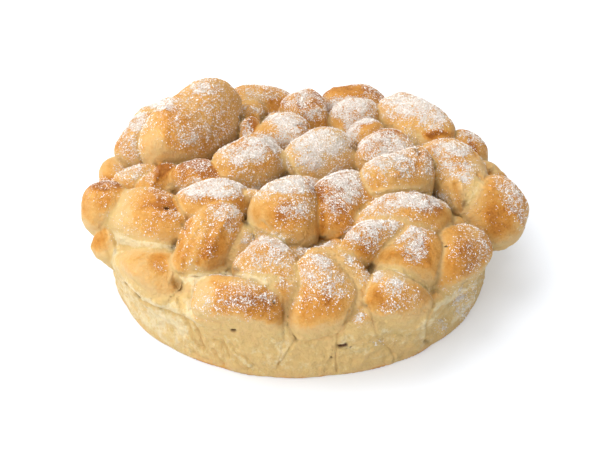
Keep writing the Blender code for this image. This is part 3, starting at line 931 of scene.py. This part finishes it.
# Where the sieve let the sugar fall on this side: middle and half sizes of each spot in
# the view, and how much of the crust it hides at most.
DUSTED = (
    # great_piece
    (-65.9, 70.5, 25.0, 22.4, 0.50),
    (-62.6, 90.3, 10.5, 5.9, 0.90),
    (-72.5, 58.0, 9.2, 6.6, 0.70),
    (-79.1, 79.1, 9.2, 5.3, 0.55),
    (-49.4, 59.3, 9.2, 9.2, 0.55),
    # left_back_bun and ball
    (-92.3, 79.7, 10.5, 5.3, 0.95),
    (-110.1, 69.2, 11.2, 9.2, 0.90),
    (-112.0, 50.7, 7.9, 17.1, 0.65),
    # left_crumple, left_tent
    (-112.0, 34.9, 9.9, 7.2, 0.70),
    (-98.9, 32.3, 5.3, 6.6, 0.50),
    # left_knob
    (-128.5, 27.0, 9.9, 4.0, 0.45),
    (-129.2, 19.1, 9.9, 7.9, 0.20),
    # left_wedge
    (-87.6, 22.4, 11.9, 5.3, 0.40),
    (-85.7, 6.6, 10.5, 4.0, 0.45),
    (-98.9, 6.6, 26.4, 18.5, 0.14),
    (-97.5, -4.6, 5.3, 4.0, 0.35),
    # left_ridge
    (-69.9, 37.6, 11.9, 6.6, 0.60),
    (-61.9, 38.9, 4.0, 4.0, 0.60),
    # left_pillow
    (-56.0, 24.4, 26.4, 7.9, 0.98),
    (-65.9, 17.8, 11.9, 4.6, 0.50),
    # front_left_roll
    (-50.1, 8.6, 10.5, 6.6, 0.80),
    (-65.9, -0.7, 14.5, 8.6, 0.34),
    (-45.5, -0.7, 5.9, 5.3, 0.60),
    (-58.0, -16.5, 3.3, 5.9, 0.45),
    (-69.2, -15.2, 9.2, 15.8, 0.22),
    # middle_left
    (-25.0, 52.7, 15.8, 7.9, 0.98),
    (-37.6, 46.1, 19.8, 7.9, 0.80),
    (-29.0, 37.6, 18.5, 7.9, 0.45),
    (-10.5, 38.9, 5.9, 6.6, 0.50),
    # back_left_pebble and chip
    (-34.9, 62.6, 4.0, 7.2, 0.80),
    (-31.6, 75.8, 10.5, 3.3, 0.60),
    # back_bun
    (-23.1, 87.0, 17.1, 5.3, 0.60),
    (-33.0, 87.0, 5.3, 4.0, 0.60),
    # back_ball
    (1.3, 83.0, 14.5, 9.2, 0.70),
    (6.6, 73.8, 9.9, 5.3, 0.75),
    # back_left_bun
    (-9.9, 69.2, 14.5, 5.3, 0.95),
    (-6.6, 61.3, 14.5, 7.9, 0.80),
    (-14.5, 55.4, 5.9, 5.3, 0.60),
    # back_loaf
    (46.8, 87.6, 6.6, 5.3, 0.60),
    (33.0, 92.9, 15.8, 2.0, 0.40),
    # back_pillow
    (33.6, 77.1, 18.5, 7.9, 1.00),
    # middle_back
    (12.5, 52.7, 19.8, 10.5, 1.00),
    (8.6, 42.2, 11.2, 7.2, 0.90),
    (26.4, 42.8, 8.6, 7.9, 0.50),
    # back_slice
    (34.3, 64.6, 5.9, 9.9, 0.95),
    (41.5, 69.9, 9.9, 3.3, 0.95),
    # right_back_bun
    (56.7, 52.7, 19.8, 9.2, 0.90),
    # right_back_roll
    (72.5, 79.1, 22.4, 9.2, 0.85),
    (87.6, 70.5, 11.9, 9.2, 0.85),
    (67.2, 73.8, 10.5, 7.2, 0.60),
    (75.8, 65.2, 10.5, 5.3, 0.40),
    # right_back_egg
    (116.0, 58.7, 11.2, 5.9, 0.80),
    (108.7, 52.1, 5.3, 4.0, 0.35),
    # right_saddle
    (99.5, 49.4, 13.8, 6.6, 0.90),
    (102.1, 37.6, 13.2, 7.9, 0.75),
    (109.4, 31.6, 4.6, 5.3, 0.80),
    # right_loaf
    (60.0, 42.8, 19.8, 7.9, 0.90),
    (69.2, 38.9, 10.5, 9.9, 0.65),
    (83.0, 40.9, 5.3, 9.9, 0.65),
    (56.7, 32.3, 7.2, 6.6, 0.50),
    # middle_front
    (-6.6, 26.4, 19.8, 7.2, 0.98),
    (-22.4, 24.4, 11.2, 7.2, 0.85),
    (-3.3, 13.2, 13.2, 11.2, 0.70),
    (-7.9, 2.0, 9.2, 6.6, 0.40),
    # middle_right
    (29.7, 29.7, 15.8, 9.2, 0.92),
    (23.1, 16.5, 10.5, 11.9, 0.68),
    (33.6, 19.8, 8.6, 6.6, 0.85),
    (23.1, 4.6, 7.2, 6.6, 0.35),
    # front_shoulder
    (-25.0, -9.9, 17.8, 5.3, 0.80),
    (-15.8, -16.5, 10.5, 5.3, 0.85),
    (-23.1, -21.7, 19.8, 11.2, 0.62),
    (-9.9, -33.6, 5.3, 11.2, 0.50),
    # front_egg
    (14.5, -21.7, 12.5, 7.2, 0.90),
    (11.9, -33.0, 15.2, 10.5, 0.64),
    (23.1, -39.5, 9.9, 9.2, 0.62),
    (6.6, -46.1, 12.5, 11.9, 0.35),
    (19.8, -50.1, 9.9, 7.9, 0.22),
    # front_crescent
    (17.1, -13.2, 11.9, 3.3, 0.75),
    (29.7, -21.7, 7.2, 8.6, 0.80),
    (39.5, -33.6, 6.6, 11.2, 0.58),
    (37.6, -43.5, 5.3, 6.6, 0.40),
    # front_chip
    (38.2, -60.0, 4.6, 4.6, 0.80),
    (40.9, -65.9, 4.0, 3.3, 0.30),
    # front_left_bun
    (-40.9, -48.1, 23.7, 8.6, 0.50),
    (-59.3, -53.4, 8.6, 9.2, 0.50),
    (-21.1, -48.8, 8.6, 5.9, 0.60),
    (-39.5, -40.9, 18.5, 4.0, 0.50),
    (-39.5, -58.0, 22.4, 5.3, 0.34),
    # front_right_block
    (51.4, -34.3, 5.9, 4.0, 0.90),
    (61.9, -40.9, 8.6, 6.6, 0.80),
    (72.5, -47.4, 7.2, 5.9, 0.60),
    (63.3, -54.7, 11.9, 4.6, 0.55),
    # front_right_egg
    (72.5, -4.6, 13.8, 7.9, 0.82),
    (75.8, -15.2, 7.9, 9.9, 0.88),
    (85.7, -4.0, 5.3, 5.3, 0.50),
    (64.6, -13.2, 4.6, 4.6, 0.50),
    # front_right_finger
    (56.0, 2.0, 21.1, 5.3, 0.95),
    (42.8, -6.6, 13.8, 7.2, 0.88),
    (48.1, -14.5, 5.9, 5.9, 0.70),
    (63.3, -3.3, 6.6, 5.3, 0.60),
    # right_bolster
    (72.5, 16.5, 27.7, 5.9, 0.95),
    (52.7, 9.9, 11.9, 5.9, 0.72),
    (82.4, 11.2, 8.6, 5.9, 0.62),
    # right_cheek
    (112.0, -4.6, 9.9, 5.3, 0.42),
    (117.3, -13.2, 8.6, 6.6, 0.55),
    (108.7, -16.5, 11.2, 9.9, 0.32),
    (121.9, -20.4, 5.9, 5.9, 0.50),
    (115.3, -27.0, 7.2, 4.6, 0.42),
    (102.1, -40.2, 9.9, 5.3, 0.25),
    (112.0, -34.9, 13.8, 4.0, 0.28),
    # right_egg
    (139.7, 20.4, 7.2, 13.2, 0.78),
    (145.0, 7.9, 4.6, 9.9, 0.62),
    (133.8, 28.3, 7.2, 5.9, 0.62),
    (125.2, 23.1, 19.8, 26.4, 0.06),
    # middle_chip and the skin beside it
    (2.0, -17.8, 5.9, 3.3, 0.90),
    (-29.7, -6.6, 11.2, 4.0, 0.50),
    (-29.7, 19.1, 3.3, 2.0, 0.30),
    # left_cheek, by the seam
    (-92.3, -27.0, 4.0, 4.0, 0.40),
    # the wall's right end, where flour stuck
    (107.4, -51.4, 6.6, 10.5, 0.85),
    (92.9, -66.6, 4.6, 4.6, 0.80),
    (55.4, -77.1, 13.2, 2.0, 0.40),
    (114.7, -41.5, 4.0, 5.3, 0.70),
)

# The oven's heat: the crowns browned, the sides less, and the creases and webs hardly. Each
# piece took its own colour, and clouds of a darker or lighter tan lie over them all. Painted
# light and shade are mixed in too: a highlight on the wall, shade along furrows and the base,
# and warm bounce light in the high creases.
TAN_AND_HIGHLIGHT_STRENGTH = 0.6
TAN_CLOUD_SIZE = 16.0
RIM_BROWN_AND_SHADE_HEIGHT = 1.8
RIM_BROWN_AND_SHADE_PATCH = 13.0

high = smooth_step(30.0, 52.0, points[:, 2])
facing = smooth_step(-0.75, 0.55, normals[:, 2])
own_browning = (0.25 + 0.55 * BROWNED[owner]) * (1 - below)
from_crease = 0.30 + 0.50 * smooth_step(0.0, 3.5, crease) + 0.2 * smooth_step(2.0, 12.0, crease)
from_crease *= 1 - 0.6 * webbed
browning_and_painted_light = own_browning * from_crease * facing * (0.45 + 0.55 * high)
browning_and_painted_light += TAN_AND_HIGHLIGHT_STRENGTH * seen * spread(across, up, TAN_AND_HIGHLIGHT_SPOTS, 0.0, 2.4)
browning_and_painted_light *= 1 + 0.25 * noise_at(points, TAN_CLOUD_SIZE, 2, 3.0)
# The rim of the base sat on the hot tin and browned in a thin uneven line; the line also
# holds painted shade where the loaf meets the floor.
rim_patches = np.clip(0.6 + 1.4 * noise_at(points, RIM_BROWN_AND_SHADE_PATCH, 2, 7.0), 0, 1)
browning_and_painted_light += 0.9 * np.exp(-points[:, 2] / RIM_BROWN_AND_SHADE_HEIGHT) * rim_patches
# Low creases stayed pale. High creases are drawn browner: painted warm bounce light between
# the pieces.
browning_and_painted_light += 0.7 * line_tan_and_shade
browning_and_painted_light -= 0.12 * np.exp(-crease / 2.5) * (1 - below) * (1 - 1.5 * high)

# The sieve's sugar: by each piece's own share behind, and where it lies in view in front.
SUGAR_CLOUD_SIZE = 7.0
SUGAR_CLUMP_SIZE = 2.0

far_side = SUGARED[owner] * (1 - below) * smooth_step(0.25, 0.8, normals[:, 2])
near_side = spread(across, up, DUSTED, 0.0, 2.1)
near_side *= 0.25 + 0.75 * smooth_step(-0.35, 0.35, normals[:, 2])
sugar = (far_side + seen * (near_side - far_side)) * smooth_step(0.1, 3.0, crease)
sugar = np.clip(sugar * (1 + 0.5 * noise_at(points, SUGAR_CLOUD_SIZE, 2, 4.0)), 0, 1)
clumping = np.clip(0.5 + 1.6 * noise_at(points, SUGAR_CLUMP_SIZE, 2, 9.0), 0.03, 1)

# The first layer is the crust's browning with painted light and shade mixed in; the last is the
# painted shade of the tears and pockets.
for name, values in (
    ("browning_and_painted_light", np.clip(browning_and_painted_light, -0.15, 1)),
    ("sugar", sugar),
    ("painted_hole_shade", painted_hole_shade),
):
    layer = skin.attributes.new(name, "FLOAT", "POINT")
    layer.data.foreach_set("value", values.astype(np.float32))

bread = bpy.data.objects.new("bread", skin)
bpy.context.scene.collection.objects.link(bread)
skin.shade_smooth()


def linear(hex_colour):
    """An sRGB hex colour as the linear RGBA that shader sockets take."""
    parts = [int(hex_colour[i : i + 2], 16) / 255 for i in (1, 3, 5)]
    turned = [p / 12.92 if p <= 0.04045 else ((p + 0.055) / 1.055) ** 2.4 for p in parts]
    return (*turned, 1.0)


def add_node(material, kind, settings=None, links=None):
    """Adds a shader node: settings go to its attributes or input sockets, links to inputs."""
    tree = material.node_tree
    node = tree.nodes.new(kind)
    for name, value in (settings or {}).items():
        if isinstance(name, str) and hasattr(node, name):
            setattr(node, name, value)
        else:
            node.inputs[name].default_value = value
    for name, source in (links or {}).items():
        tree.links.new(source, node.inputs[name])
    return node


def set_ramp(node, stops):
    """Fills a colour ramp with (position, hex colour) stops."""
    ramp = node.color_ramp
    while len(ramp.elements) > len(stops):
        ramp.elements.remove(ramp.elements[-1])
    while len(ramp.elements) < len(stops):
        ramp.elements.new(1.0)
    for element, (position, colour) in zip(ramp.elements, stops):
        element.position = position
        element.color = linear(colour)


# Milk dough crust, proved and baked. The milk gives it a soft low sheen and lets a little
# warm light through its skin. It runs from cream in the creases to chestnut on the crowns,
# in mottles, with fine pores, and icing sugar dust lies on it in specks. Painted light and
# shade are mixed into its colour, and painted shade darkens its tears and pockets.
CRUST_TONES = [
    (0.0, "#e9d4a6"),
    (0.15, "#dcba79"),
    (0.37, "#deb87c"),
    (0.60, "#dea85b"),
    (0.85, "#ce8a34"),
    (1.0, "#ab661d"),
]
DUST_COLOUR = "#ded4ca"
# Painted shade, a near black brown, for the tears and pockets.
HOLE_SHADE_COLOUR = "#4a240c"
# Patterns: the size of the largest spots in millimetres, detail, roughness and distortion.
# Dust specks and pores are a few tenths of a millimetre in life. They wouldn't show, so
# both are drawn coarser.
CRUST_PATTERNS = (
    ("mottles", 6.0, 5.0, 0.60, 0.0),
    ("fine mottles", 1.4, 3.0, 0.70, 0.0),
    ("dust specks", 1.0, 2.0, 0.70, 0.0),
    ("pores", 3.2, 6.0, 0.72, 0.4),
)
PORE_DEPTH = 3.2 * MM
DUST_HEIGHT = 0.12
GLOW_DEPTH = 3 * MM

crust = bpy.data.materials.new("baked_milk_dough_crust")
crust.use_nodes = True
crust.node_tree.nodes.clear()
place = add_node(crust, "ShaderNodeTexCoord").outputs["Object"]
browned_with_painted_light, sugared, hole_shade = (
    add_node(crust, "ShaderNodeAttribute", {"attribute_name": name}).outputs["Fac"]
    for name in ("browning_and_painted_light", "sugar", "painted_hole_shade")
)
mottle, fine_mottle, specks, pores = (
    add_node(
        crust,
        "ShaderNodeTexNoise",
        {
            "label": label,
            "Scale": 1 / (size * MM),
            "Detail": detail,
            "Roughness": roughness,
            "Distortion": distortion,
        },
        {"Vector": place},
    ).outputs["Fac"]
    for label, size, detail, roughness, distortion in CRUST_PATTERNS
)
mottle = add_node(
    crust, "ShaderNodeMix", {"data_type": "FLOAT", "Factor": 0.4}, {2: mottle, 3: fine_mottle}
).outputs[0]
mottled = add_node(
    crust, "ShaderNodeMath", {"operation": "MULTIPLY_ADD", 1: 0.85, 2: -0.28}, {0: mottle}
).outputs[0]
depth = add_node(crust, "ShaderNodeMath", {"operation": "ADD"}, {0: browned_with_painted_light, 1: mottled}).outputs[0]
tone = add_node(crust, "ShaderNodeValToRGB", {}, {"Fac": depth})
set_ramp(tone, CRUST_TONES)
# The more sugar fell, the more of the specks stand above the bare crust.
bare = add_node(
    crust, "ShaderNodeMath", {"operation": "MULTIPLY_ADD", 1: -0.42, 2: 0.76}, {0: sugared}
).outputs[0]
over = add_node(crust, "ShaderNodeMath", {"operation": "SUBTRACT"}, {0: specks, 1: bare}).outputs[0]
dust = add_node(
    crust, "ShaderNodeMath", {"operation": "MULTIPLY", 1: 8.0, "use_clamp": True}, {0: over}
).outputs[0]
colour = tone.outputs["Color"]
# Dust specks, then the painted shade of the tears and pockets, over the crust's tone.
for cover, shade in ((dust, DUST_COLOUR), (hole_shade, HOLE_SHADE_COLOUR)):
    colour = add_node(
        crust, "ShaderNodeMix", {"data_type": "RGBA", 7: linear(shade)}, {0: cover, 6: colour}
    ).outputs[2]
relief = add_node(
    crust, "ShaderNodeMath", {"operation": "MULTIPLY_ADD", 1: DUST_HEIGHT}, {0: dust, 2: pores}
).outputs[0]
bump = add_node(
    crust, "ShaderNodeBump", {"Strength": 1.0, "Distance": PORE_DEPTH}, {"Height": relief}
).outputs["Normal"]
surface = add_node(
    crust,
    "ShaderNodeBsdfPrincipled",
    {
        "Roughness": 0.5,
        "IOR": 1.45,
        "Specular IOR Level": 0.3,
        "Subsurface Weight": 0.12,
        "Subsurface Radius": (1.0, 0.5, 0.2),
        "Subsurface Scale": GLOW_DEPTH,
    },
    {"Base Color": colour, "Normal": bump},
).outputs["BSDF"]
add_node(crust, "ShaderNodeOutputMaterial", {}, {"Surface": surface})
skin.materials.append(crust)

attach(bread, "root")
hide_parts("loaf")


# The icing sugar. It was shaken over the warm loaf through a coarse sieve, so it lies on
# whatever faces up: thick on the crowns, in loose specks down their sides, and hardly any
# in the creases. It is dry powder, and what shows of it are small clots.

# Single grains are a tenth of a millimetre and wouldn't show, so each grain here is a clot:
# how many of each kind, and their least and greatest size in millimetres.
FINE_GRAINS = 45000
FINE_SIZE = (0.35, 0.7)
LUMP_GRAINS = 24000
LUMP_SIZE = (0.5, 1.1)
# How a clot lies: longer along the skin than up from it, and sunk in by part of its size.
CLOT_LENGTH = 1.2
CLOT_HEIGHT = 0.8
CLOT_RISE = 0.18


def grain_mesh(name, count, sizes, corners, faces, crowding, seed):
    """Seeded grains as one mesh, each lying on the skin where sugar fell."""
    chance = np.random.default_rng(seed)
    skin.calc_loop_triangles()
    triangles = np.empty(len(skin.loop_triangles) * 3, np.int64)
    skin.loop_triangles.foreach_get("vertices", triangles)
    triangles = triangles.reshape(-1, 3)
    places = vertex_array(skin) / MM
    a, b, c = (places[triangles[:, k]] for k in range(3))
    cross = np.cross(b - a, c - a)
    area = np.sqrt((cross * cross).sum(axis=1)) / 2
    weight = area * ((sugar * clumping)[triangles].mean(axis=1) ** crowding)
    picked = chance.choice(len(triangles), size=count, p=weight / weight.sum())
    one, two = chance.random((2, count))
    turn = one + two > 1
    one, two = np.where(turn, 1 - one, one), np.where(turn, 1 - two, two)
    spot = a[picked] + one[:, None] * (b - a)[picked] + two[:, None] * (c - a)[picked]
    up = cross[picked] / (2 * area[picked])[:, None]
    around = np.cross(up, chance.normal(size=(count, 3)))
    around /= np.sqrt((around * around).sum(axis=1))[:, None]
    across = np.cross(up, around)
    low, high = sizes
    size = low + (high - low) * chance.random(count) ** 2
    shape = corners[None] * (0.7 + 0.6 * chance.random((count, len(corners), 1)))
    shape = shape * size[:, None, None] / 2
    placed = (
        spot[:, None]
        + shape[:, :, 0:1] * around[:, None] * CLOT_LENGTH
        + shape[:, :, 1:2] * across[:, None]
        + (shape[:, :, 2:3] * CLOT_HEIGHT + size[:, None, None] * CLOT_RISE) * up[:, None]
    )
    offsets = np.arange(count)[:, None, None] * len(corners)
    mesh = bpy.data.meshes.new(name)
    mesh.from_pydata(
        (placed.reshape(-1, 3) * MM).tolist(), [], (faces[None] + offsets).reshape(-1, 3).tolist()
    )
    mesh.update()
    return mesh


TETRA = np.array([(1, 1, 1), (-1, -1, 1), (-1, 1, -1), (1, -1, -1)]) / math.sqrt(3)
TETRA_FACES = np.array([(0, 2, 1), (0, 1, 3), (0, 3, 2), (1, 2, 3)])
OCTA = np.array([(1, 0, 0), (-1, 0, 0), (0, 1, 0), (0, -1, 0), (0, 0, 1), (0, 0, -1)], float)
OCTA_FACES = np.array(
    [(0, 2, 4), (2, 1, 4), (1, 3, 4), (3, 0, 4), (2, 0, 5), (1, 2, 5), (3, 1, 5), (0, 3, 5)]
)

# Icing sugar, milled to powder and sieved: dry and matt, a warm white with no gloss, which
# turns a little duller where a clot took up moisture from the crust.
POWDER_PATCH = 3 * MM

powder = bpy.data.materials.new("icing_sugar_powder")
powder.use_nodes = True
powder.node_tree.nodes.clear()
grain_place = add_node(powder, "ShaderNodeTexCoord").outputs["Object"]
grain_tone = add_node(
    powder, "ShaderNodeTexNoise", {"Scale": 1 / POWDER_PATCH, "Detail": 2.0}, {"Vector": grain_place}
).outputs["Fac"]
grain_colour = add_node(powder, "ShaderNodeValToRGB", {}, {"Fac": grain_tone})
set_ramp(grain_colour, [(0.3, "#e4dbd2"), (0.7, "#f6f1eb")])
grain_surface = add_node(
    powder,
    "ShaderNodeBsdfPrincipled",
    {"Roughness": 0.8, "Specular IOR Level": 0.3},
    {"Base Color": grain_colour.outputs["Color"]},
).outputs["BSDF"]
add_node(powder, "ShaderNodeOutputMaterial", {}, {"Surface": grain_surface})

for name, count, sizes, corners, faces, crowding, seed in (
    ("sugar_grains", FINE_GRAINS, FINE_SIZE, TETRA, TETRA_FACES, 1.0, 5),
    ("sugar_lumps", LUMP_GRAINS, LUMP_SIZE, OCTA, OCTA_FACES, 1.3, 6),
):
    mesh = grain_mesh(name, count, sizes, corners, faces, crowding, seed)
    mesh.materials.append(powder)
    grains = bpy.data.objects.new(name, mesh)
    bpy.context.scene.collection.objects.link(grains)
    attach(grains, "root")


# The floor and the light. A white studio sweep, a large soft box high on the left and
# behind, and white walls all round that fill the shadows.

floor_mesh = bpy.data.meshes.new("studio_floor")
side = 4.0
floor_mesh.from_pydata(
    [(-side, -side, 0), (side, -side, 0), (side, side, 0), (-side, side, 0)], [], [(0, 1, 2, 3)]
)
floor = bpy.data.objects.new("studio_floor", floor_mesh)
bpy.context.scene.collection.objects.link(floor)
floor.location.z = -0.0002
# Coated paper, pressed matt: an even white without a sheen. It glows a little, a painted
# light that stands in for the white room's light on it, so that the shadow stays soft.
paper = bpy.data.materials.new("matt_white_paper")
paper.use_nodes = True
paper.node_tree.nodes.clear()
sheet = add_node(
    paper,
    "ShaderNodeBsdfPrincipled",
    {
        "Base Color": linear("#cfd3d9"),
        "Roughness": 0.9,
        "Emission Color": linear("#ffffff"),
        "Emission Strength": 0.28,
    },
).outputs["BSDF"]
add_node(paper, "ShaderNodeOutputMaterial", {}, {"Surface": sheet})
floor_mesh.materials.append(paper)


def soft_box(name, place, size, watts):
    light = bpy.data.lights.new(name, "AREA")
    light.shape = "SQUARE"
    light.size = size
    light.energy = watts
    box = bpy.data.objects.new(name, light)
    bpy.context.scene.collection.objects.link(box)
    box.location = place
    box.rotation_euler = (Vector((0, 0, 0.04)) - box.location).to_track_quat("-Z", "Y").to_euler()
    return box


soft_box("key_soft_box", (-1.0, 0.55, 1.75), 2.3, 57.0)
soft_box("front_soft_box", (-1.0, -1.6, 1.2), 1.6, 31.0)

world = bpy.data.worlds.new("white_studio")
world.use_nodes = True
world.node_tree.nodes["Background"].inputs["Color"].default_value = (1.0, 1.0, 1.0, 1.0)
world.node_tree.nodes["Background"].inputs["Strength"].default_value = 0.60
bpy.context.scene.world = world
bpy.context.scene.view_settings.view_transform = "Standard"
